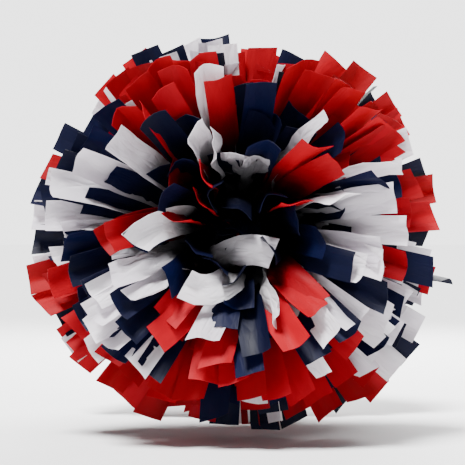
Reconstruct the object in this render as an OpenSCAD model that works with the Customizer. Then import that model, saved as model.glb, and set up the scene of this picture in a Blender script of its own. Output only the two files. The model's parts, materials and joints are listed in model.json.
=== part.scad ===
// Cheer pom pom on a baton handle. Millimetres, +Z up.
// The baton lies along Y with the middle of its grip at the origin. A knot of film strips is tied on each end.
// Each coloured sheet of film is slit from both long sides, gathered along its uncut middle band, and cinched
// round the baton's neck with a cable tie. The free strips spread out from the knot in tufts.

/* [Strips] */
// Width of one strip of film
strip_w = 19; // [15:1:25]
// Width of the slit between two strips
slit_w = 0.8; // [0.5:0.1:1.5]
// Distance from the knot's middle at which the slits start
slit_start = 58; // [45:1:75]
// Reach of the strip tips from the knot's middle
strip_reach = 140; // [110:1:175]
// Reach of the strips that point straight out of each end, which droop
crown_reach = 120; // [100:1:150]
// How far the lowest tufts are pressed flat by the surface that they rest on
rest_flat = 5; // [3:1:8]

/* [Tufts] */
// Half angle of the crown tuft at each end
crown_angle = 24; // [18:1:28]
// Angle from straight out at which the inner strips end and the outer ones start
split_angle = 68; // [62:1:74]
// Angle from straight out at which the outer strips end, beside the hand
skirt_angle = 100; // [90:1:102]
// How far a tuft sways each way about its root, in degrees
sway = 6; // [4:0.5:7]
// Gap between the sides of two tufts
tuft_gap = 1.2; // [0.8:0.1:3]
// Gap between the two layers of a tuft, and between a tuft's root and the knot
seat_gap = 0.3; // [0.2:0.05:0.6]

/* [Baton] */
// Length of the grip between the two flanges
grip_l = 86; // [75:1:110]
// Diameter of the ribbed bar inside the foam
bar_d = 24; // [20:1:28]
// Thickness of the bar's ribs and of its discs
rib_t = 2.5; // [2:0.1:4]
// Diameter of the bar's round middle
boss_d = 10; // [8:0.5:13]
// Diameter of each flange
flange_d = 38; // [34:1:44]
// Thickness of each flange
flange_t = 3; // [2.5:0.5:5]
// Chamfer on the rims of the flanges
flange_chamfer = 0.6; // [0.3:0.1:1.2]
// Diameter of each neck
neck_d = 18; // [15:0.5:19]
// Wall thickness of the foam sleeve
foam_t = 3.5; // [2.5:0.5:5]
// Chamfer on the ends of the foam sleeve
foam_chamfer = 1.2; // [0.5:0.1:2]

/* [Knot and ties] */
// Diameter of the knot where the strips leave the gathered sheets
knot_d = 44; // [43:0.5:56]
// Thickness of one colour's gathered sheets round the neck
film_t = 1.7; // [1.2:0.1:2]
// Width of the taped band between a knot's flares
band_w = 8.6; // [7.6:0.2:12]
// Thickness of the tape over the gathered sheets
tape_t = 0.6; // [0.3:0.1:0.8]
// Width of the cable tie's strap
tie_w = 4.8; // [3.6:0.1:5]
// Thickness of the cable tie's strap
tie_t = 1.4; // [1:0.1:1.6]
// Side of the cable tie's square head
tie_head = 6.6; // [5.6:0.1:6.8]
// Height of the cable tie's head above the inside of its strap
tie_head_h = 4.6; // [4:0.1:4.8]
// Width of the cable tie's tail, which is cut off just past the head
tie_tail_w = 4; // [3:0.1:4.4]
// Gap between the cable tie's strap and its tail
tie_tail_gap = 0.4; // [0.2:0.1:0.8]

/* [Caps and screws] */
// Height of the end cap's dome above the neck
cap_h = 5; // [4.6:0.1:7]
// Thickness of the end cap under the screw's head
cap_seat_t = 2; // [1.6:0.1:2.2]
// Diameter of the spigot that centres the cap in the neck
spigot_d = 10; // [8.5:0.5:11]
// Length of that spigot
spigot_l = 3; // [2:0.5:5]
// Diameter of the screw's shank
screw_d = 3.5; // [3:0.1:4]
// Length of the screw's shank
screw_l = 16; // [12:1:20]
// Diameter of the screw's pan head
head_d = 7; // [6:0.1:7.5]
// Height of the screw's pan head
head_h = 2.3; // [2:0.1:2.4]
// Width of each slot of the cross recess in the screw's head
recess_w = 1.1; // [0.8:0.1:1.3]
// Length of each slot of the recess
recess_l = 4.3; // [3:0.1:4.6]
// Depth of the recess
recess_h = 1.4; // [1:0.1:1.6]

/* [Hidden] */
$fn = 64;
// Clearance all round between parts that slide together in assembly
fit = 0.1;
// Cuts run this far past the faces that they cut
over = 1;
// Clearance of the cap's screw in its hole and in its counterbore
screw_gap = 0.3;
// Clearance between a tuft's path and the next tier's path, in degrees
tier_gap = 1;
bar_r = bar_d / 2;
neck_r = neck_d / 2;
knot_r = knot_d / 2;
// The knot's ball covers the neck and ends in the cap's dome
half_neck = knot_r - cap_h;
neck_l = 2 * half_neck;
// Distance from the grip's middle to a knot's middle
knot_y = grip_l / 2 + flange_t + half_neck;
// The strips clear this ball round the knot at every angle of sway
root_r = knot_r + seat_gap;
// Angle from straight out at which the inner strips start
shoulder_angle = crown_angle + 2 * sway + tier_gap;
rest_z = -(strip_reach - rest_flat);
foam_r = bar_r + fit + foam_t;
// Gathered sheets, from the neck outwards
navy_r = neck_r + fit;
white_r = navy_r + film_t + fit;
red_r = white_r + film_t + fit;
tape_r = red_r + film_t + fit;
tie_r = tape_r + tape_t + fit;
// The three flares share what the band leaves of half a neck
flare_l = (half_neck - band_w / 2 - 3 * fit) / 3;
// Where each sheet's flare ends along the neck, from the knot's middle
navy_end = half_neck - fit;
white_end = navy_end - flare_l - fit;
red_end = white_end - flare_l - fit;

ENDS = ["front", "rear"];
DIRECTIONS = ["right", "up_right", "up", "up_left", "left", "down_left", "down", "down_right"];
LAYERS = ["inner", "outer"];
step_angle = 360 / len(DIRECTIONS);

red = "crimson";
white = "whitesmoke";
navy = "midnightblue";
// Main colour of each tuft, in the order of DIRECTIONS, as [inner layer, outer layer]
FRONT_COLOURS = [[navy, white], [red, red], [navy, red], [red, navy], [white, white], [white, red], [red, navy],
    [red, white]];
REAR_COLOURS = [[red, navy], [white, red], [red, white], [navy, red], [red, navy], [white, white], [navy, red],
    [white, red]];

function sector_point(angle, reach) = [reach * sin(angle), reach * cos(angle)];

// Places a part of the front end: its own +Z points out of the end, and its +Y points up
module at_end(end) {
    mirror([0, end == "rear" ? 1 : 0, 0])
        translate([0, -knot_y, 0])
            rotate([90, 0, 0])
                children();
}

// Ring from the inner radius to the outer one, between two heights
module ring(r_in, r_out, z_from, z_to) {
    translate([0, 0, z_from])
        difference() {
            cylinder(r = r_out, h = z_to - z_from);
            translate([0, 0, -over]) cylinder(r = r_in, h = z_to - z_from + 2 * over);
        }
}

// Disc with a chamfer on both rims
module chamfered_disc(r, thickness, chamfer) {
    cylinder(r1 = r - chamfer, r2 = r, h = chamfer);
    translate([0, 0, chamfer]) cylinder(r = r, h = thickness - 2 * chamfer);
    translate([0, 0, thickness - chamfer]) cylinder(r1 = r, r2 = r - chamfer, h = chamfer);
}

// Neck with its flange and the socket and pilot hole that take the cap and its screw
module neck() {
    difference() {
        union() {
            translate([0, 0, -half_neck]) cylinder(r = neck_r, h = neck_l);
            translate([0, 0, -half_neck - flange_t]) chamfered_disc(flange_d / 2, flange_t, flange_chamfer);
        }
        translate([0, 0, half_neck - spigot_l - fit]) cylinder(r = spigot_d / 2 + fit, h = spigot_l + over);
        translate([0, 0, half_neck + cap_seat_t - screw_l - over])
            cylinder(r = screw_d / 2 + fit / 2, h = screw_l + over);
    }
}

// Bar of four ribs round a boss, with discs that keep the foam round
module ribbed_bar() {
    rotate([90, 0, 0]) {
        cylinder(r = boss_d / 2, h = grip_l + flange_t, center = true);
        intersection() {
            cylinder(r = bar_r, h = grip_l + flange_t, center = true);
            union() {
                cube([bar_d, rib_t, grip_l + flange_t], center = true);
                cube([rib_t, bar_d, grip_l + flange_t], center = true);
            }
        }
        for (share = [-1 / 3, 0, 1 / 3])
            translate([0, 0, share * grip_l]) cylinder(r = bar_r, h = rib_t, center = true);
    }
}

module baton_core() {
    color("gainsboro") {
        ribbed_bar();
        for (end = ENDS) at_end(end) neck();
    }
}

module foam_grip() {
    color("dimgray")
        rotate([90, 0, 0])
            difference() {
                translate([0, 0, -grip_l / 2 + seat_gap])
                    chamfered_disc(foam_r, grip_l - 2 * seat_gap, foam_chamfer);
                cylinder(r = bar_r + fit, h = grip_l + 2 * over, center = true);
            }
}

// One colour's gathered sheets: a sleeve round the neck that flares out into strip roots at both ends
module sheet_gather(r_in, flare_start, flare_end) {
    difference() {
        intersection() {
            sphere(r = knot_r);
            union() {
                cylinder(r = r_in + film_t, h = 2 * flare_end, center = true);
                for (side = [0, 1]) mirror([0, 0, side])
                    translate([0, 0, flare_start]) cylinder(r = knot_r, h = flare_end - flare_start);
            }
        }
        cylinder(r = r_in, h = neck_l + 2 * over, center = true);
    }
}

module navy_sheet() {
    color(navy) sheet_gather(navy_r, white_end + fit, navy_end);
}

module white_sheet() {
    color(white) sheet_gather(white_r, red_end + fit, white_end);
}

module red_sheet() {
    color(red) sheet_gather(red_r, band_w / 2, red_end);
}

module tape_wrap() {
    color("black") ring(tape_r, tape_r + tape_t, fit - band_w / 2, band_w / 2 - fit);
}

// Strap round the tape, with the head on its upper side and the cut-off tail that leaves the head
module cable_tie() {
    color("white") {
        ring(tie_r, tie_r + tie_t, -tie_w / 2, tie_w / 2);
        translate([-tie_head / 2, tie_r + fit, -tie_head / 2]) cube([tie_head, tie_head_h, tie_head]);
        translate([0, tie_r + tie_t + tie_tail_gap, -tie_tail_w / 2]) cube([tie_head, tie_t, tie_tail_w]);
    }
}

module end_cap() {
    color("gainsboro")
        difference() {
            union() {
                intersection() {
                    sphere(r = knot_r);
                    translate([0, 0, half_neck]) cylinder(r = knot_r, h = knot_r);
                }
                translate([0, 0, half_neck - spigot_l]) cylinder(r = spigot_d / 2, h = spigot_l + over);
            }
            translate([0, 0, half_neck + cap_seat_t]) cylinder(r = head_d / 2 + screw_gap, h = knot_r);
            cylinder(r = screw_d / 2 + screw_gap, h = knot_r);
        }
}

// Pan-head screw: the head's rim is straight up to its shoulder and then slopes in to its flat top
module cap_screw() {
    shoulder_h = 0.6 * head_h;
    top_d = 0.72 * head_d;
    color("silver")
        translate([0, 0, half_neck + cap_seat_t])
            difference() {
                union() {
                    translate([0, 0, -screw_l]) cylinder(r = screw_d / 2, h = screw_l);
                    cylinder(r = head_d / 2, h = shoulder_h);
                    translate([0, 0, shoulder_h])
                        cylinder(r1 = head_d / 2, r2 = top_d / 2, h = head_h - shoulder_h);
                }
                for (turn = [0, 90]) rotate([0, 0, turn])
                    translate([-recess_l / 2, -recess_w / 2, head_h - recess_h])
                        cube([recess_l, recess_w, recess_h + over]);
            }
}

// Slits between the strips of a tuft that widens by half_angle to each side, as thin washers round the knot.
// The tuft is widest at wide_angle from straight out. A slit near its side starts later than the others, so that
// the outer strip keeps a root as long as it is wide.
module slits(reach, half_angle, wide_angle) {
    count = floor(reach * sin(half_angle) / strip_w);
    for (i = [0 : count - 1]) for (side = [-1, 1]) {
        place = (i + 0.5) * strip_w;
        start = max(slit_start, place / tan(half_angle) / sin(wide_angle) + strip_w);
        translate([0, side * place, 0])
            rotate([90, 0, 0])
                difference() {
                    cylinder(r = reach + over, h = slit_w, center = true);
                    cylinder(r = start, h = slit_w + over, center = true);
                }
    }
}

// Plain outer shape of one layer of a tuft that spreads towards +X, between two angles from +Z.
// Its side walls stay inside its own sector at both ends of its sway.
module tuft_layer(from_angle, to_angle) {
    far = 2 * strip_reach;
    apex = tuft_gap / 2 / sin(step_angle / 2);
    side = (far - apex) * tan(step_angle / 2);
    difference() {
        intersection() {
            sphere(r = strip_reach);
            rotate([90, 0, 0])
                linear_extrude(height = far, center = true)
                    polygon([[0, 0], sector_point(from_angle, far), sector_point(to_angle, far)]);
            intersection_for(turn = [-sway, sway]) rotate([0, turn, 0])
                linear_extrude(height = 2 * far, center = true)
                    polygon([[apex, 0], [far, side], [far, -side]]);
        }
        sphere(r = root_r);
        slits(strip_reach, step_angle / 2, min(to_angle - sway, 90));
    }
}

// Keeps what is above the surface that the pom pom rests on
module above_rest() {
    intersection() {
        children();
        translate([-2 * strip_reach, -2 * strip_reach - knot_y, rest_z])
            cube([4 * strip_reach, 4 * strip_reach + 2 * knot_y, 4 * strip_reach]);
    }
}

module tuft(end, direction, layer) {
    colours = end == "front" ? FRONT_COLOURS : REAR_COLOURS;
    gap_angle = seat_gap / root_r * 180 / PI;
    color(colours[direction][layer == "inner" ? 0 : 1])
        above_rest()
            at_end(end)
                rotate([0, 0, direction * step_angle])
                    if (layer == "inner") tuft_layer(shoulder_angle, split_angle - gap_angle);
                    else tuft_layer(split_angle, skirt_angle);
}

// Strips that stick straight out of an end
module crown_tuft() {
    color(navy)
        difference() {
            intersection() {
                sphere(r = crown_reach);
                cylinder(r1 = 0, r2 = strip_reach * tan(crown_angle), h = strip_reach);
            }
            sphere(r = root_r);
            slits(crown_reach, crown_angle, 90 - crown_angle);
        }
}

baton_core();
foam_grip();
for (end = ENDS) {
    at_end(end) navy_sheet();
    at_end(end) white_sheet();
    at_end(end) red_sheet();
    at_end(end) tape_wrap();
    at_end(end) cable_tie();
    at_end(end) end_cap();
    at_end(end) cap_screw();
    at_end(end) crown_tuft();
    for (d = [0 : len(DIRECTIONS) - 1]) for (layer = LAYERS)
        tuft(end, d, layer);
}
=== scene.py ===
# %% [markdown]
# # A cheer pom pom of plastic film
#
# A pom pom is a few hundred strips of thin film, cut from coloured sheets, gathered and tied round the
# two ends of a short baton. The frame that this script loads holds the baton, the knots and the moving
# bodies. Everything that is made here is film, and it rides on those bodies.

# %% Load the frame
import json
import math

import bmesh
import bpy
import numpy as np
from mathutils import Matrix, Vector

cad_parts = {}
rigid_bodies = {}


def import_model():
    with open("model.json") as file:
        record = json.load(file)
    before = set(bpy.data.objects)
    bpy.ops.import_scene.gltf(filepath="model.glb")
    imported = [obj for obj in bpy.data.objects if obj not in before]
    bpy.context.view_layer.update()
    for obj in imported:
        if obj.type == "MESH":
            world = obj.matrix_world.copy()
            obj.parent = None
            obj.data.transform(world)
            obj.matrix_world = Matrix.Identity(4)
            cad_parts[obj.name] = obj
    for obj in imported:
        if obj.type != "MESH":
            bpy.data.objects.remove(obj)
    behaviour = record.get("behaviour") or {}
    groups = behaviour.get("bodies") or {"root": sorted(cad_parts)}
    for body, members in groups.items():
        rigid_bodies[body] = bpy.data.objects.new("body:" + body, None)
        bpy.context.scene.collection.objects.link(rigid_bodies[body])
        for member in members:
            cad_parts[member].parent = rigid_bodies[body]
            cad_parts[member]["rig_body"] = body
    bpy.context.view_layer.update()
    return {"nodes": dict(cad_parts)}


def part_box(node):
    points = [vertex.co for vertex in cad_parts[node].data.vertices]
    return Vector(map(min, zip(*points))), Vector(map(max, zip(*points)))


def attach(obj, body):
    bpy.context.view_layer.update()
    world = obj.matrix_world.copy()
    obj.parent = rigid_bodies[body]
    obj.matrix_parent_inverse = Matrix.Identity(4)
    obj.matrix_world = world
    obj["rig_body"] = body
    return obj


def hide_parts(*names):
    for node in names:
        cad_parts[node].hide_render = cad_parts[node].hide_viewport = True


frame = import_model()
MM = 0.001

# %% [markdown]
# ## Where things are
#
# The strips need three places from the frame: the middle of each knot, the radius of the knot that they
# leave, and the surface that the ball rests on. They are measured from the CAD nodes, so nothing is typed
# twice.

# %% Knots and rest height
knot_low, knot_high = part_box("front_red_sheet")
KNOT = {"front": (knot_low + knot_high) / 2}
KNOT["rear"] = Vector((0, -KNOT["front"].y, 0))
KNOT_RADIUS = (knot_high.x - knot_low.x) / 2
REST_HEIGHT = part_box("front_tuft_down_outer")[0].z
OUTWARD = {"front": np.array((0.0, -1.0, 0.0)), "rear": np.array((0.0, 1.0, 0.0))}
print("Front knot at", [round(x / MM, 1) for x in KNOT["front"]], "mm, radius", round(KNOT_RADIUS / MM, 1))

# %% [markdown]
# ## Camera
#
# The ball is seen straight along its baton, from 1.2 m. A lens is easiest to choose from what it has to
# show: the view's width at the front knot, divided by the distance, gives its focal length.

# %% Camera
CAMERA_DISTANCE = 1.2
VIEW_WIDTH = 304.6 * MM
VIEW_MIDDLE = (-2.3 * MM, -1.1 * MM)
SENSOR_WIDTH = 36
SIGHT_LIMIT = 20
camera_data = bpy.data.cameras.new("camera")
camera = bpy.data.objects.new("camera", camera_data)
bpy.context.scene.collection.objects.link(camera)
camera_data.sensor_width = SENSOR_WIDTH
camera_data.lens = SENSOR_WIDTH * CAMERA_DISTANCE / VIEW_WIDTH
camera_data.clip_end = SIGHT_LIMIT
camera.location = (VIEW_MIDDLE[0], KNOT["front"].y - CAMERA_DISTANCE, VIEW_MIDDLE[1])
camera.rotation_euler = (math.radians(90), 0, 0)
bpy.context.scene.camera = camera
print("Lens", round(camera_data.lens), "mm")

# %% [markdown]
# ## Nodes in one line each
#
# A shader is a graph of nodes, and Python needs three or four lines for each of them. One helper makes a
# node, changes its settings and fills its inputs, with a value or with another node's output.


# %% Helpers for shader nodes
def add_node(tree, kind, inputs=None, **settings):
    """A new node of a tree. Settings come first, because some of them change which inputs the node has."""
    made = tree.nodes.new("ShaderNode" + kind)
    for name, value in settings.items():
        setattr(made, name, value)
    for name, value in (inputs or {}).items():
        if isinstance(value, bpy.types.NodeSocket):
            tree.links.new(value, made.inputs[name])
        else:
            made.inputs[name].default_value = value
    return made


def new_material(name):
    """A material with its node tree and its Principled shader."""
    material = bpy.data.materials.new(name)
    material.use_nodes = True
    return material, material.node_tree, material.node_tree.nodes["Principled BSDF"]


print("Helpers ready")

# %% [markdown]
# ## Floor
#
# The floor is one large matt plane, so that its edge is too far away to be seen. It lies a hair below the
# lowest strips, because two surfaces in exactly the same place flicker.

# %% Floor
FLOOR_SIZE = 80
FLOOR_GAP = 0.3 * MM
FLOOR_GREY = 0.97
bpy.ops.object.select_all(action="DESELECT")
bpy.ops.mesh.primitive_plane_add(size=FLOOR_SIZE, location=(0, 0, REST_HEIGHT - FLOOR_GAP))
floor = bpy.context.object
floor.name = "floor"
floor_material, floor_tree, floor_shader = new_material("pale_floor")
floor_shader.inputs["Base Color"].default_value = (FLOOR_GREY, FLOOR_GREY, FLOOR_GREY, 1)
floor_shader.inputs["Roughness"].default_value = 1.0
floor.data.materials.append(floor_material)
print("Floor at", round(floor.location.z / MM, 1), "mm")

# %% [markdown]
# ## Lamps
#
# The key light is a wide sun, high and in front. It makes the tops of the lower strips bright and leaves
# the hollow above the middle dark. A sun's strength doesn't fall off with distance, so the floor is lit
# evenly too. One broad lamp behind the ball shines through the strips at the rim.

# %% Key light and back light
KEY_WAY = Vector((0.25, 0.42, -0.95))
KEY_STRENGTH = 10.5
KEY_SOFTNESS = math.radians(18)
BACK_PLACE = Vector((0.2, 0.9, 0.7))
BACK_WATTS = 34
BACK_SIZE = 0.9


def lamp(name, kind, strength, way):
    """A lamp that shines the given way."""
    data = bpy.data.lights.new(name, kind)
    data.energy = strength
    holder = bpy.data.objects.new(name, data)
    holder.rotation_euler = way.to_track_quat("-Z", "Y").to_euler()
    bpy.context.scene.collection.objects.link(holder)
    return holder


back = lamp("back", "AREA", BACK_WATTS, -BACK_PLACE)
back.location = BACK_PLACE
back.data.size = BACK_SIZE
key = lamp("key", "SUN", KEY_STRENGTH, KEY_WAY)
key.data.angle = KEY_SOFTNESS
print("Lamps:", back.name, "and", key.name)

# %% [markdown]
# ## Sky
#
# The sky has two jobs that need two strengths. Seen past the ball it has to be as bright as the floor, so
# that the horizon fades. As a light it has to be weak, or it would fill the shade between the strips. The
# Light Path node tells the two apart, and both strengths are free of where the camera stands.

# %% Sky
SKY_LIGHT = 0.16
SKY_SEEN = 3.1
world = bpy.data.worlds.new("studio")
bpy.context.scene.world = world
world.use_nodes = True
light_path = add_node(world.node_tree, "LightPath")
strength = add_node(world.node_tree, "MapRange", {
    "Value": light_path.outputs["Is Camera Ray"], "To Min": SKY_LIGHT, "To Max": SKY_SEEN,
})
sky = world.node_tree.nodes["Background"]
sky.inputs["Color"].default_value = (1, 1, 1, 1)
world.node_tree.links.new(strength.outputs["Result"], sky.inputs["Strength"])
print("Sky strength", SKY_LIGHT, "as a light and", SKY_SEEN, "as seen")

# %% [markdown]
# ## Creases in film
#
# The strips are thin plastic film, creased from being packed flat. A crease is a sharp low ridge between
# two smooth faces, and that is what the distance to the edge of a Voronoi cell gives. Long soft folds
# from a noise lie under the ridges. All three colours of film share the pattern, so it is a node group.
# It is drawn on the strip's own UV map, so that it follows the strip round every bend.

# %% The group for film creases
RIDGE_REACH = 0.22
RIDGE_SOFTNESS = 0.12
RIDGE_HEIGHT = 1.6


def group_socket(group, name, kind, side):
    return group.interface.new_socket(name=name, in_out=side, socket_type="NodeSocket" + kind)


def film_creases():
    """A height for the creases, and a slow mottle for the colour and the gloss."""
    group = bpy.data.node_groups.new("film_creases", "ShaderNodeTree")
    group_socket(group, "Vector", "Vector", "INPUT")
    group_socket(group, "Fold Size", "Float", "INPUT").default_value = 3.0
    group_socket(group, "Height", "Float", "OUTPUT")
    group_socket(group, "Mottle", "Float", "OUTPUT")
    given = group.nodes.new("NodeGroupInput")
    out = group.nodes.new("NodeGroupOutput")
    sized = add_node(
        group, "VectorMath", {0: given.outputs["Vector"], "Scale": given.outputs["Fold Size"]},
        operation="SCALE",
    )
    place = sized.outputs[0]
    long_folds = add_node(
        group, "TexNoise", {"Vector": place, "Scale": 1.0, "Detail": 3, "Distortion": 0.6}
    )
    crumple = add_node(
        group, "TexVoronoi", {"Vector": place, "Scale": 1.7, "Randomness": 1.0}, feature="DISTANCE_TO_EDGE"
    )
    ridge = add_node(
        group, "Math", {0: crumple.outputs["Distance"], 1: RIDGE_REACH, 2: RIDGE_SOFTNESS},
        operation="SMOOTH_MIN",
    )
    both = add_node(
        group, "Math", {0: ridge.outputs[0], 1: RIDGE_HEIGHT, 2: long_folds.outputs["Fac"]},
        operation="MULTIPLY_ADD",
    )
    mottle = add_node(group, "TexNoise", {"Vector": place, "Scale": 0.7, "Detail": 2})
    group.links.new(both.outputs[0], out.inputs["Height"])
    group.links.new(mottle.outputs["Fac"], out.inputs["Mottle"])
    return group


CREASES = film_creases()
print("Node group", CREASES.name, "with", len(CREASES.nodes), "nodes")

# %% [markdown]
# ## Film
#
# Film is glossy and lets light through, so its material mixes a Principled shader with a Translucent one.
# Two attributes of the strips steer it. "tone" differs from strip to strip, as film from different rolls
# does. The other is painted shade: it is 1 where a strip is crowded among the others at the knot and 0
# where it is free, and it darkens the colour there to stand for the shade between many more strips than
# are modelled.

# %% The film material
# How dark painted shade makes the film at the knot, as a share of its deep colour.
PAINTED_SHADE_SHARE = 0.06
MOTTLE_WEIGHT = 0.7
FILM_GLOSS = 0.14
SMOOTHER = 0.08
ROUGHER = 0.14
CREASE_HEIGHT = 1.2 * MM
FOLD_SIZE = 1.7
ALONG_THE_STRIP = (1.5, 0.5, 1)


def mixed_colour(tree, share, first, second):
    mix = add_node(tree, "Mix", {"Factor": share, "A": first, "B": second}, data_type="RGBA")
    return mix.outputs["Result"]


def film_material(name, deep, bright, glow, through, roughness, crease):
    """The film varies between the shades deep and bright, and glow is its colour with light behind it."""
    material, tree, shader = new_material(name)
    # Painted shade: the film's colour near the knot, darkened to stand for the shade where strips crowd.
    painted_shade_colour = (*[PAINTED_SHADE_SHARE * c for c in deep], 1)
    uv = add_node(tree, "UVMap", uv_map="UVMap")
    stretch = add_node(tree, "Mapping", {"Vector": uv.outputs["UV"], "Scale": ALONG_THE_STRIP})
    creases = add_node(tree, "Group", node_tree=CREASES)
    creases.inputs["Fold Size"].default_value = FOLD_SIZE
    tree.links.new(stretch.outputs["Vector"], creases.inputs["Vector"])
    mottle = creases.outputs["Mottle"]
    tone = add_node(tree, "Attribute", attribute_name="tone")
    painted_shade = add_node(tree, "Attribute", attribute_name="painted_shade")
    shade = add_node(
        tree, "Math", {0: mottle, 1: MOTTLE_WEIGHT, 2: tone.outputs["Fac"]}, operation="MULTIPLY_ADD"
    )
    free_colour = mixed_colour(tree, shade.outputs[0], (*deep, 1), (*bright, 1))
    gloss = add_node(
        tree, "MapRange", {"Value": mottle, "To Min": roughness - SMOOTHER, "To Max": roughness + ROUGHER}
    )
    bump = add_node(tree, "Bump", {
        "Height": creases.outputs["Height"], "Strength": crease, "Distance": CREASE_HEIGHT,
    })
    # Painted shade: the colour is darkened towards the knot.
    colour = mixed_colour(tree, painted_shade.outputs["Fac"], free_colour, painted_shade_colour)
    tree.links.new(colour, shader.inputs["Base Color"])
    tree.links.new(gloss.outputs["Result"], shader.inputs["Roughness"])
    tree.links.new(bump.outputs["Normal"], shader.inputs["Normal"])
    shader.inputs["Specular IOR Level"].default_value = FILM_GLOSS
    # Painted shade: the colour with light behind it is darkened towards the knot too.
    lit = mixed_colour(tree, painted_shade.outputs["Fac"], (*glow, 1), painted_shade_colour)
    behind = add_node(tree, "BsdfTranslucent", {"Color": lit, "Normal": bump.outputs["Normal"]})
    both = add_node(
        tree, "MixShader", {"Fac": through, 1: shader.outputs["BSDF"], 2: behind.outputs["BSDF"]}
    )
    tree.links.new(both.outputs["Shader"], tree.nodes["Material Output"].inputs["Surface"])
    return material


print("Film takes its creases from", CREASES.name)

# %% [markdown]
# ## Red, white and navy
#
# The same film comes in three colours. White lets the most light through and shows its creases best. Navy
# holds nearly all light back. The red is set darker than it looks, because a bright saturated colour turns
# pale when strong light falls on it.

# %% A film material for each colour
FILM = {
    "red": film_material(
        "red_film", deep=(0.17, 0.0001, 0.002), bright=(0.44, 0.0001, 0.011), glow=(0.62, 0.0002, 0.05),
        through=0.34, roughness=0.56, crease=0.2,
    ),
    "white": film_material(
        "white_film", deep=(0.5, 0.46, 0.54), bright=(0.93, 0.91, 0.95), glow=(0.96, 0.91, 0.94),
        through=0.42, roughness=0.44, crease=0.8,
    ),
    "navy": film_material(
        "navy_film", deep=(0.0001, 0.0004, 0.003), bright=(0.0001, 0.0016, 0.022), glow=(0.0, 0.008, 0.1),
        through=0.1, roughness=0.5, crease=0.2,
    ),
}
print("Film materials:", ", ".join(FILM))

# %% [markdown]
# ## One flat strip
#
# Every strip starts as the same flat piece of film, cut square at its free end and gathered at its root.
# It is a grid, shaped in edit mode: each row near the root is scaled to a narrower width. Strips that can
# be seen whole get a finer grid than those behind them. Both have few faces, because there are hundreds
# of each.

# %% The flat strip, modelled in edit mode
STRIP_WIDTH = 19 * MM
STRIP_LENGTH = 118 * MM
ROOT_SHARE = 0.3
GATHER_LENGTH = 0.42
SAME_ROW = 0.01 * MM


def ease(x):
    """0 before 0, 1 after 1, and a smooth step between them."""
    x = np.clip(x, 0, 1)
    return x * x * (3 - 2 * x)


def flat_strip(name, across, along):
    bpy.ops.object.select_all(action="DESELECT")
    bpy.ops.mesh.primitive_grid_add(x_subdivisions=across, y_subdivisions=along, size=1, calc_uvs=True)
    strip = bpy.context.object
    strip.name = name
    bpy.ops.object.mode_set(mode="EDIT")
    bpy.ops.mesh.select_all(action="SELECT")
    bpy.ops.transform.translate(value=(0, 0.5, 0))
    bpy.ops.transform.resize(value=(STRIP_WIDTH, STRIP_LENGTH, 1), center_override=(0, 0, 0))
    mesh = bmesh.from_edit_mesh(strip.data)
    for height in sorted({round(v.co.y, 6) for v in mesh.verts}):
        share = height / STRIP_LENGTH
        if share < GATHER_LENGTH:
            for v in mesh.verts:
                v.select = abs(v.co.y - height) < SAME_ROW
            mesh.select_flush_mode()
            bmesh.update_edit_mesh(strip.data)
            narrow = ROOT_SHARE + (1 - ROOT_SHARE) * float(ease(share / GATHER_LENGTH))
            bpy.ops.transform.resize(value=(narrow, 1, 1), center_override=(0, height, 0))
            mesh = bmesh.from_edit_mesh(strip.data)
    bpy.ops.object.mode_set(mode="OBJECT")
    return strip


fine_strip = flat_strip("fine_strip", 6, 12)
plain_strip = flat_strip("plain_strip", 4, 12)
print("Faces of a flat strip:", len(fine_strip.data.polygons), "and", len(plain_strip.data.polygons))

# %% [markdown]
# ## The line of a strip
#
# A strip leaves the knot's flare and leans over until it points the way that it is pushed. Its way is
# given as a clock angle, seen from the front, and a lean from straight out of the end. A lean below 0
# crosses over the middle. Towards its tip it may curl further, drift sideways and droop.
#
# A curve and a curve modifier could carry a strip along such a path. Moving the strip's points in code
# keeps the film's width exactly as it was cut, and lets each strip take its own roll.

# %% The middle line of a strip, and which way the strip faces along it
STEPS = np.linspace(0, 1, 49)
STEP = STEPS[1]
ROOT_SUNK = 1 * MM
ROOT_LEAN = 42
ROOT_FOLLOWS = 0.48
LEAST_ROOT_LEAN = 40
MOST_LEAN = 100
LEANT_BY = 0.5
CURL_FROM = 0.4
ROLLED_BY = 0.55
DROOP = 4 * MM


def radial(clock):
    """The way that a clock hand points, seen from the front."""
    angle = np.radians(clock)
    return np.stack([np.sin(angle), np.zeros_like(angle), np.cos(angle)], axis=-1)


def unit(v):
    return v / np.linalg.norm(v, axis=-1, keepdims=True)


def free_length(reach):
    """The length of film outside the knot, for a strip that reaches so far from the knot's middle."""
    return reach - KNOT_RADIUS


def middle_line(end, clock, lean, reach, roll, curl, drift):
    """The line's points, and its three directions at each: along the strip, across it and off its face."""
    out = OUTWARD[end]
    root_lean = max(ROOT_LEAN + ROOT_FOLLOWS * min(lean, MOST_LEAN), LEAST_ROOT_LEAN)
    leans = root_lean + (lean - root_lean) * ease(STEPS / LEANT_BY)
    leans = np.radians(leans + curl * ease((STEPS - CURL_FROM) / (1 - CURL_FROM)))
    arms = radial(clock + drift * (STEPS**2 - 1))
    way = out * np.cos(leans)[:, None] + arms * np.sin(leans)[:, None]
    walked = np.vstack([np.zeros(3), np.cumsum((way[1:] + way[:-1]) / 2, axis=0)]) * STEP
    line = np.array(KNOT[end]) + (KNOT_RADIUS - ROOT_SUNK) * way[0] + walked * free_length(reach)
    line[:, 2] -= DROOP * STEPS**2 * (1 - way[:, 2] ** 2)
    tangent = unit(np.gradient(line, axis=0))
    facing = out * np.sin(leans)[:, None] - arms * np.cos(leans)[:, None]
    facing = unit(facing - tangent * np.sum(facing * tangent, axis=1)[:, None])
    side = np.cross(tangent, facing)
    rolls = np.radians(roll * ease(STEPS / ROLLED_BY))[:, None]
    rolled_side = side * np.cos(rolls) - facing * np.sin(rolls)
    rolled_facing = facing * np.cos(rolls) + side * np.sin(rolls)
    return line, tangent, rolled_side, rolled_facing


print("A strip that reaches 130 mm has", round(free_length(130 * MM) / MM), "mm of free film")

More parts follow.
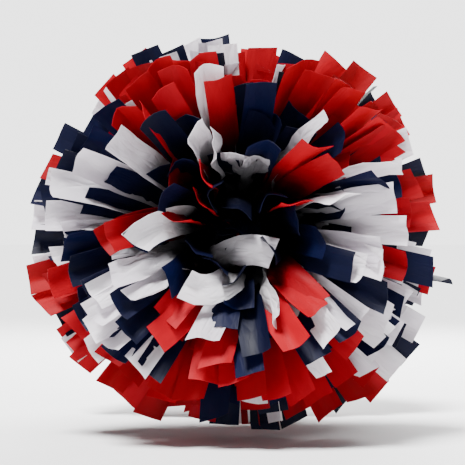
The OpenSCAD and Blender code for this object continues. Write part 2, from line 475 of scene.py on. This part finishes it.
# %% [markdown]
# ## The face of a strip
#
# Film is never flat. Across its width a strip is cupped, folded down its middle or pleated where it
# leaves the knot, and crinkles run over it. Its corners curl, and its end is seldom cut quite square. The
# height of each point over the strip's plane is the sum of these, with sizes that a seeded draw changes
# from strip to strip.

# %% Crinkles, and a bent strip
WAVES = 4
CORNER_LIFT = (-1.2 * MM, 2.2 * MM)
CUPPED_BY = 0.5
FOLDED_BY = 0.3
CRINKLED_BY = 0.4
FOLD_PLACE = 0.1
GATHER_DEPTH = 0.45 * STRIP_WIDTH


def face_height(q, share, cup, fold, crinkle, rng):
    """How far points stand off the strip's plane. Across it q is -1 to 1, and along it share is 0 to 1."""
    # The cup and the fold are taken less their mean, so that neither lifts the whole strip off its plane.
    height = cup * ease(share / CUPPED_BY) * (q**2 - 0.33)
    height += fold * ease(share / FOLDED_BY) * (np.abs(q - FOLD_PLACE) - 0.5)
    height += GATHER_DEPTH * (1 - ease(share / GATHER_LENGTH)) * q**2
    pleats, shift = rng.uniform(0.7, 1.5), rng.uniform(0, 2 * math.pi)
    height += crinkle * (1.3 - share) * np.sin(math.pi * pleats * q + shift + 1.5 * share)
    for _ in range(WAVES):
        along, over, start = rng.uniform(1.5, 7), rng.uniform(-2.2, 2.2), rng.uniform(0, 2 * math.pi)
        wave = np.sin(math.pi * along * share + start + over * q * 2)
        height += crinkle * 0.6 * ease(share / CRINKLED_BY) * wave
    height += rng.uniform(*CORNER_LIFT) * share**6 * q * abs(q) * rng.choice([-1, 1])
    return height


def bent(flat, line_and_ways, cup, fold, crinkle, slant, rng):
    """The places of a flat strip's points once it is bent. slant is how far its end is cut off square."""
    share = flat[:, 1] / STRIP_LENGTH
    q = flat[:, 0] / (STRIP_WIDTH / 2)
    height = face_height(q, share, cup, fold, crinkle, rng)
    forward = slant * q * share**8
    line, tangent, side, facing = [
        np.stack([np.interp(share, STEPS, values[:, i]) for i in range(3)], axis=1)
        for values in line_and_ways
    ]
    return line + side * flat[:, :1] + facing * height[:, None] + tangent * forward[:, None]


print("Each strip gets", WAVES, "crinkles of its own")

# %% [markdown]
# ## The rim
#
# The front of the ball is laid out strip by strip, the way a florist fills a bouquet: first the rim, then
# the strips that stand or fall in front of it, then the few that lie across the middle. Each row gives a
# strip's clock angle, its lean, how far it reaches in millimetres and its colour, r, w or n for red,
# white or navy. Then come its roll, curl and sideways drift in degrees, where it has any.

# %% Rim of the front half
RIM = [
    # the top, and on to the right side
    (356, 80, 123, "w"), (357, 90, 116, "r"), (9, 88, 122, "r"), (19, 90, 123, "n"),
    (14, 80, 115, "w", 60), (19, 80, 117, "r"), (28, 79, 116, "r"), (34, 80, 117, "r"),
    (31, 88, 131, "r"), (38, 88, 137, "r"), (28, 92, 121, "n"), (45, 92, 131, "n", 55),
    (46, 86, 125, "r", 40), (49, 93, 124, "n", 60), (51, 88, 135, "r", 20), (56, 88, 133, "r", 12),
    (60, 87, 128, "r", 30), (63, 92, 119, "n", 40), (66.5, 84, 130, "w", 15, 0, 5),
    (70, 88, 131, "n", 55), (73, 88, 110, "r"), (76, 88, 134, "r"), (82, 86, 131, "r"),
    # the right side, and on to the bottom
    (90, 88, 127, "n"), (97.5, 84, 127, "w"), (97, 91, 142, "n", 84, -4, -4), (103.5, 90, 132, "r"),
    (106, 88, 127, "w"), (108, 92, 126, "n", 40), (111.5, 86, 130, "w", 0, 0, 6), (118, 86, 135, "w"),
    (124, 88, 139, "n"), (129, 88, 138, "w"), (135.5, 88, 141, "r"), (140.5, 90, 140, "w", 60),
    (144.5, 88, 136, "r"), (147, 93, 134, "n"), (152.5, 88, 134, "r"), (159.5, 88, 126, "r"),
    (165, 89, 132, "n"), (171, 89, 132, "n"), (167, 82, 128, "w", 62), (176, 90, 128, "r", 65),
    (178.5, 91, 127, "w", 60),
    # the bottom, and on to the left side
    (184, 88, 128, "n"), (192, 85, 126, "r"), (198, 87, 120, "r"), (206, 88, 135, "r"),
    (213.5, 88, 132, "r"), (220, 88, 131, "r"), (227, 88, 134, "r"), (233.5, 88, 133, "w"),
    (234, 92, 126, "r"), (238.5, 89, 132, "r"), (243, 89, 129, "n"), (248, 89, 128, "n"),
    (252, 87, 136, "r"), (258, 87, 139, "r"), (262, 88, 134, "w"), (265.5, 90, 125, "n", 50),
    # the left side, and back to the top
    (270, 89, 133, "n"), (275.5, 88, 134, "w"), (283.5, 90, 135, "n"), (290, 89, 133, "r", 30),
    (286.5, 86, 130, "w"), (300, 89, 134, "n"), (294, 86, 122, "w"), (307.5, 90, 114, "r", 40),
    (309.5, 88, 122, "n"), (314, 86, 126, "w"), (317.5, 88, 131, "r"), (323.5, 86, 130, "r"),
    (329.5, 88, 134, "r"), (334.5, 89, 134, "n"), (338.5, 88, 125, "w"), (342, 89, 127, "n"),
    (345.7, 88, 128, "w"), (350, 88, 126, "w", 30), (353.5, 90, 131, "n"),
]
print(len(RIM), "strips at the rim")

# %% [markdown]
# ## In front of the rim
#
# These strips lean less, so they stand nearer to the eye. On the upper half most stand straight. On the
# lower half their own weight pulls most tips down, and a curl above 0 does that.

# %% Strips that stand or fall in front of the rim
SHOULDER = [
    # upper right
    (5, 38, 130, "n", 10, 0, -6), (18, 17, 126, "n"), (22, 62, 128, "r", 30), (29, 60, 131, "r", -10),
    (35, 58, 130, "r", 24), (45, 28, 130, "w", -72, 16, 10), (47, 34, 128, "n", -30),
    (41, 62, 132, "r", 30), (47, 58, 132, "r", 44), (52, 60, 132, "r", 48), (57, 62, 131, "r", 44),
    (49, 20, 128, "r", 60, 14, 10), (60, 20, 128, "r", 24, 22, 8), (84, 44, 132, "w", 55, 22, 26),
    (78, 38, 130, "n", 50, 0, 14), (80, 32, 131, "w", 10, 30, 6), (71, 26, 124, "w", 82),
    (88, 40, 131, "w", 16, 26), (94, 28, 128, "w", 24, 28),
    # lower right
    (110, 36, 131, "n", 0, 34), (103, 30, 130, "w", 10, 30), (118, 42, 130, "w", 0, 34),
    (125, 46, 130, "w", 0, 36), (121, 58, 130, "w", 0, 24), (115, 66, 124, "n", 24),
    (122, 78, 128, "n", 30), (128, 62, 128, "n", 16), (98, 13, 126, "n", -6, 42, -8),
    (98.5, 17, 128, "w", -6, 40, -7), (122, 22, 131, "w", 6, 38, -4), (132, 28, 130, "n", 0, 34),
    (133, 34, 131, "r", 0, 34), (138, 24, 128, "w", 30, 34), (148, 26, 130, "n", 0, 34),
    (149, 38, 130, "w", 55, 28), (141, 15, 128, "r", 0, 46, -14),
    # the bottom
    (170, 12, 127, "n", 0, 42), (174, 24, 130, "n", 8, 36), (176, 36, 131, "r", 0, 30),
    (166, 42, 130, "r", 0, 26), (157, 48, 130, "r", 0, 20), (184, 58, 131, "n", 6, 10),
    # the left, and lower left
    (236, 24, 120, "r", 0, 50, -44), (255, 21, 122, "r", 0, 34, -20), (252, 20, 124, "w", 40, 34),
    (258, 42, 130, "n", -20, 20), (250, 34, 128, "n", -20, 30), (266, 46, 130, "n", 0, 16),
    (240, 32, 134, "w", 10, 36), (236, 42, 132, "w", 0, 30), (247, 32, 128, "w", 20, 30),
    (228, 40, 131, "w", 30, 28), (230, 26, 130, "n", 0, 36), (238, 24, 128, "n", 0, 34),
    (238, 16, 122, "w", 40, 36), (219, 38, 131, "w", 0, 30), (224, 40, 131, "n", 0, 30),
    (214, 38, 130, "n", 0, 30), (236, 15, 128, "r", 0, 48, 26), (214, 10, 120, "w", 10, 46, 20),
    (199, 20, 126, "r", 0, 40, 14), (205, 44, 131, "r", 0, 28), (197, 44, 130, "r", 0, 26),
    (190, 32, 128, "r", 0, 30), (181, 30, 128, "r", 0, 30),
    # upper left
    (275, 66, 130, "w", 14, 6), (285, 64, 132, "w", 12, 4), (280, 74, 131, "n", 30),
    (291, 70, 128, "n", -30), (297, 54, 130, "w", -14, 6), (303, 60, 124, "n", 30),
    (309, 36, 130, "w", 20, 8), (319, 34, 130, "n", 0, 0, -6), (316, 57, 130, "n"), (317, 52, 130, "r"),
    (323, 38, 128, "r", 60), (327, 58, 132, "r"), (334, 60, 132, "r"), (339, 52, 131, "r", -10),
    (344, 56, 130, "r"), (338, 27, 114, "w", 34), (345, 24, 108, "w", 66), (350, 46, 131, "w", 24),
    (351, 56, 131, "r"), (353, 44, 126, "r"), (330, 44, 128, "r", 20),
]
print(len(SHOULDER), "strips in front of the rim")

# %% [markdown]
# ## Round the middle
#
# Straight out of the end the strips are short and hang over the hollow. A few long flaps fall across it,
# with strong curls and drifts. Behind them, strips with a lean below 0 close the middle, so that the cap
# doesn't show.

# %% Strips round the middle
MIDDLE = [
    # above the hollow
    (358, 22, 92, "w"), (17, 22, 94, "w"), (351, 24, 88, "n"), (318, 26, 96, "r", 42),
    (333, 10, 112, "r", 70),
    # flaps across it and below it
    (222, 6, 120, "w", -8, 60, -64), (220, 10, 118, "n", -8, 54, -62), (286, -21, 108, "w", 0, -56, 74),
    (302, -8, 120, "w", 0, 94, 118), (137, 8, 112, "r", 10, 60, 10), (128, 12, 118, "r", -40, 40, -8),
    (180, -2, 100, "n", 0, 62), (154, 10, 112, "w", 60, 30), (222, 10, 116, "r", 0, 46),
    (286, 4, 100, "r", 78, 20),
    # inside it
    (318, -4, 96, "r", 74, 24), (330, 2, 100, "n", 60), (40, 2, 102, "n", 50), (75, 6, 104, "n"),
    (110, -4, 100, "n", 60), (180, 0, 100, "n", 40), (215, -6, 98, "n"), (250, -2, 100, "n", 50),
    (0, -10, 96, "n"), (60, 6, 108, "r", 70, 10), (95, 10, 110, "n", 0, 20), (190, 8, 110, "n", 0, 34),
    (240, 8, 110, "n", 0, 30), (300, 12, 112, "n"),
    # over the cap
    (0, -60, 66, "n"), (30, -54, 70, "n", 20), (60, -62, 64, "n", -20), (90, -58, 68, "n"),
    (120, -60, 70, "n", 20), (150, -54, 66, "r"), (180, -60, 70, "n", -30), (210, -58, 66, "n"),
    (240, -62, 68, "n", 20), (270, -56, 70, "n"), (300, -60, 66, "n", -20), (330, -58, 70, "n"),
    (15, -40, 74, "n", 40), (105, -44, 76, "n"), (195, -40, 76, "n", 30), (285, -42, 74, "r", 50),
    (45, -30, 80, "n"), (165, -30, 78, "n", 30), (315, -28, 80, "n", -30),
]
print(len(MIDDLE), "strips round the middle")

# %% [markdown]
# ## Filling and skirt
#
# What shows only through gaps doesn't need to be listed strip by strip. A seeded draw fills the inside of
# each half, and a skirt of strips closes the side that faces the hand. The colours are drawn with other
# odds in each part of the ball, because they lie in patches.

# %% Filling and skirt
# Steps of a golden share of a turn never line up, so the strips spread evenly.
GOLDEN = 1.618
rng = np.random.default_rng(11)


def colour_odds(clock):
    """How likely red, white and navy are at a clock angle."""
    if clock > 315 or clock < 62:
        return (0.45, 0.02, 0.53)
    if clock < 135:
        return (0.1, 0.3, 0.6)
    if clock < 236:
        return (0.55, 0.08, 0.37)
    return (0.15, 0.25, 0.6)


def drawn(count, lean_low, lean_high, reach_low, reach_high):
    """Rows like the listed ones, spread round the clock."""
    rows = []
    for i in range(count):
        clock = (i + rng.uniform(-0.4, 0.4)) * 360 / count * GOLDEN % 360
        letter = str(rng.choice(["r", "w", "n"], p=colour_odds(clock)))
        lean = rng.uniform(lean_low, lean_high)
        reach = rng.uniform(reach_low, reach_high)
        rows.append((clock, lean, reach, letter, rng.normal(0, 18)))
    return rows


FILLING = drawn(80, 58, 90, 92, 112) + drawn(40, 28, 58, 90, 108)
SKIRT = drawn(48, 95, 102, 106, 120)
print(len(FILLING), "strips of filling and", len(SKIRT), "in the skirt")

# %% [markdown]
# ## Layers over the rim
#
# The sheets lie on one another before they are cut, so a strip at the rim has others of its colour over
# it. Without them the rim would be a thin disc, seen from the side.

# %% Layers over the rim
layer_rng = np.random.default_rng(12)


def layer_over(clock, reach, letter):
    """A row a little in front of a strip at the rim, and a little shorter."""
    clock += layer_rng.uniform(-3, 3)
    lean = layer_rng.uniform(64, 82)
    reach *= layer_rng.uniform(0.89, 0.95)
    return (clock, lean, reach, letter, layer_rng.normal(0, 16))


LAYERS = [layer_over(row[0], row[2], row[3]) for row in RIM]
print(len(LAYERS), "strips over the rim")

# %% [markdown]
# ## The rear half
#
# The rear half is the same kind of ball. It repeats the front's lists, turned round the baton so that the
# two halves don't look alike, and mirrored because it faces the other way.

# %% Both halves
TURNED = 137
FRONT = RIM + SHOULDER + MIDDLE + FILLING + SKIRT + LAYERS
BY_HAND = len(RIM) + len(SHOULDER) + len(MIDDLE)
STRIPS = {"front": FRONT, "rear": [((row[0] + TURNED) % 360, *row[1:]) for row in FRONT]}
print({end: len(rows) for end, rows in STRIPS.items()}, "strips")

# %% [markdown]
# ## Which tuft a strip belongs to
#
# The frame has one body for each of eight directions round a knot, and one for the strips that point
# straight out. A strip is sorted by its clock angle and its lean, so that it sways with its neighbours.

# %% Sort strips into tufts
COLOURS = {"r": "red", "w": "white", "n": "navy"}
DIRECTIONS = ["right", "up_right", "up", "up_left", "left", "down_left", "down", "down_right"]
CROWN_LEAN = 30


def tuft_of(end, clock, lean):
    if lean < CROWN_LEAN:
        return f"{end}_crown"
    return f"{end}_tuft_" + DIRECTIONS[round((90 - clock) / 45) % len(DIRECTIONS)]


print("A strip at 12 o'clock belongs to", tuft_of("front", 0, 90))

# %% [markdown]
# ## Colour data of a strip
#
# The film materials read three things from a strip: its UV map, its tone and its painted shade. The UV
# map is shifted by a random amount, so that no two strips have the same creases. The painted shade is
# measured along the film from the knot, so a short strip is painted darker up to its tip.

# %% What the film materials read
DARK_UNTIL = 22 * MM
LIT_FROM = 92 * MM
MOST_TONE = 0.65
UV_LENGTH = 5
UV_SHIFT = 50


def write_attribute(mesh, name, values):
    mesh.attributes.new(name, "FLOAT", "POINT").data.foreach_set("value", values)


def shift_uvs(mesh):
    """A UV map as long as the strip is against its width, somewhere on the endless pattern."""
    uv = mesh.uv_layers[0]
    uv.name = "UVMap"
    corners = np.zeros(len(uv.data) * 2)
    uv.data.foreach_get("uv", corners)
    corners = corners.reshape(-1, 2) * (1, UV_LENGTH) + rng.uniform(0, UV_SHIFT, 2)
    uv.data.foreach_set("uv", corners.ravel())


def colour_data(strip, flat):
    """Writes the UV map, the tone and the painted shade of a strip. flat holds its points before it was
    bent.
    """
    shift_uvs(strip.data)
    write_attribute(strip.data, "tone", np.full(len(flat), rng.uniform(0, MOST_TONE)))
    along = flat[:, 1] / STRIP_LENGTH * strip["length"]
    # Painted shade: 1 near the knot, fading to 0 along the film.
    write_attribute(strip.data, "painted_shade", 1 - ease((along - DARK_UNTIL) / (LIT_FROM - DARK_UNTIL)))


print("A strip is dark for", round(DARK_UNTIL / MM), "mm and free of shade from", round(LIT_FROM / MM), "mm")

# %% [markdown]
# ## Every strip
#
# Each strip is a copy of the flat one with its own mesh, bent into place. The rows say how it should lie,
# and a small draw on top of them keeps neighbours from lying exactly alike. Strips that would go through
# the floor are pressed flat on it.

# %% Bend every strip
FLOOR_ROOM = 0.5 * MM
PRESSED = 0.1
CRINKLE = {"r": 0.7 * MM, "w": 1.5 * MM, "n": 0.6 * MM}
ROLL_SPREAD = 8
CURL_SPREAD = 5
DRIFT_SPREAD = 1.5
CUP_RANGE = (-3 * MM, 4.5 * MM)
DEEPEST_FOLD = 5 * MM
SLANT_SPREAD = 1.8 * MM


def made_strip(end, row, master):
    clock, lean, reach, letter, roll, curl, drift = (*row, 0, 0, 0)[:7]
    strip = master.copy()
    strip.data = master.data.copy()
    bpy.context.scene.collection.objects.link(strip)
    strip["length"] = free_length(reach * MM)
    flat = np.zeros(len(strip.data.vertices) * 3)
    strip.data.vertices.foreach_get("co", flat)
    flat = flat.reshape(-1, 3)
    roll += rng.normal(0, ROLL_SPREAD)
    curl += rng.normal(0, CURL_SPREAD)
    drift += rng.normal(0, DRIFT_SPREAD)
    cup = rng.uniform(*CUP_RANGE)
    fold = rng.uniform(0, 1) ** 2 * DEEPEST_FOLD
    slant = rng.normal(0, SLANT_SPREAD)
    line_and_ways = middle_line(end, clock, lean, reach * MM, roll, curl, drift)
    placed = bent(flat, line_and_ways, cup, fold, CRINKLE[letter], slant, rng)
    lowest = REST_HEIGHT + FLOOR_ROOM
    height = placed[:, 2]
    placed[:, 2] = np.where(height < lowest, lowest + PRESSED * (height - lowest), height)
    strip.data.vertices.foreach_set("co", placed.ravel())
    colour_data(strip, flat)
    return strip


tufts = {}
for end, rows in STRIPS.items():
    for number, row in enumerate(rows):
        group = (tuft_of(end, row[0], row[1]), COLOURS[row[3]])
        master = fine_strip if number < BY_HAND else plain_strip
        tufts.setdefault(group, []).append(made_strip(end, row, master))
for master in (fine_strip, plain_strip):
    bpy.data.objects.remove(master)
print(len(tufts), "groups of strips of one tuft and colour")

# %% [markdown]
# ## Pieces of film
#
# The strips of one colour in one tuft are joined, because they were one sheet before they were cut, and
# they ride on the tuft's body together. A Solidify modifier gives them the film's thickness, and closes
# each strip into a shell.

# %% Join each group and give the film its thickness
FILM_THICKNESS = 0.25 * MM
SMOOTH_BELOW = math.radians(50)
CAD_OF = {}
for name, node in frame["nodes"].items():
    if "_tuft" in name:
        CAD_OF.setdefault(node["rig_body"], []).append(name)


def joined(strips):
    bpy.ops.object.select_all(action="DESELECT")
    bpy.context.view_layer.objects.active = strips[0]
    for strip in strips:
        strip.select_set(True)
    bpy.ops.object.join()
    return bpy.context.object


for (body, colour), strips in tufts.items():
    piece = joined(strips)
    piece.name = f"{body}_{colour}_strips"
    piece.data.name = piece.name
    piece.data.materials.clear()
    piece.data.materials.append(FILM[colour])
    film = piece.modifiers.new("film", "SOLIDIFY")
    film.thickness = FILM_THICKNESS
    film.offset = 0
    bpy.ops.object.modifier_apply(modifier="film")
    bpy.ops.object.shade_smooth_by_angle(angle=SMOOTH_BELOW)
    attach(piece, body)
    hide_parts(*CAD_OF[body])
    end = body.split("_")[0]
print("Film pieces:", len(tufts))

# %% [markdown]
# ## The baton and the knots
#
# The CAD nodes keep their shape. Each gets the finish of its real material: grained moulded plastic,
# closed-cell foam, cloth tape, nylon and zinc-plated steel. The gathered sheets get a coarser relief, as
# crumpled film has. All of these are a colour that varies a little and a relief, from one noise on Object
# coordinates, and only their values differ.

# %% Finishes for the hard parts
GRAIN_HEIGHT = 0.3 * MM
DARK_SIDE = 0.75


def grained(name, colour, roughness, scale, relief, metallic=0.0):
    material, tree, shader = new_material(name)
    place = add_node(tree, "TexCoord")
    grain = add_node(tree, "TexNoise", {"Vector": place.outputs["Object"], "Scale": scale, "Detail": 4})
    darker = (*[DARK_SIDE * c for c in colour], 1)
    bump = add_node(
        tree, "Bump", {"Height": grain.outputs["Fac"], "Strength": relief, "Distance": GRAIN_HEIGHT}
    )
    varied = mixed_colour(tree, grain.outputs["Fac"], darker, (*colour, 1))
    tree.links.new(varied, shader.inputs["Base Color"])
    tree.links.new(bump.outputs["Normal"], shader.inputs["Normal"])
    shader.inputs["Roughness"].default_value = roughness
    shader.inputs["Metallic"].default_value = metallic
    return material


print("Relief of the finishes:", round(GRAIN_HEIGHT / MM, 1), "mm at most")

# %% [markdown]
# ## A finish for each hard part
#
# A node's name ends in a word that says what the part is, and that word chooses the finish. The tufts have
# other last words, so they are passed over.

# %% Put the finishes on
FINISH_BY_LAST_WORD = {
    "core": grained("moulded_plastic", (0.78, 0.78, 0.76), 0.45, 900, 0.15),
    "cap": grained("cap_plastic", (0.78, 0.78, 0.76), 0.4, 900, 0.12),
    "grip": grained("foam", (0.035, 0.035, 0.04), 0.85, 700, 0.8),
    "wrap": grained("cloth_tape", (0.03, 0.03, 0.03), 0.7, 1500, 0.5),
    "tie": grained("nylon", (0.8, 0.78, 0.7), 0.35, 400, 0.1),
    "screw": grained("zinc_steel", (0.55, 0.55, 0.57), 0.3, 1200, 0.1, 1.0),
}
FINISH_OF_SHEET = {
    "navy": grained("navy_sheet_film", (0.002, 0.012, 0.07), 0.4, 300, 0.6),
    "white": grained("white_sheet_film", (0.85, 0.85, 0.88), 0.4, 300, 0.6),
    "red": grained("red_sheet_film", (0.75, 0.004, 0.012), 0.4, 300, 0.6),
}
for name, node in frame["nodes"].items():
    words = name.split("_")
    finish = FINISH_BY_LAST_WORD.get(words[-1])
    if words[-1] == "sheet":
        finish = FINISH_OF_SHEET[words[1]]
    if finish:
        node.data.materials.clear()
        node.data.materials.append(finish)
print("Finishes:", len(FINISH_BY_LAST_WORD) + len(FINISH_OF_SHEET))
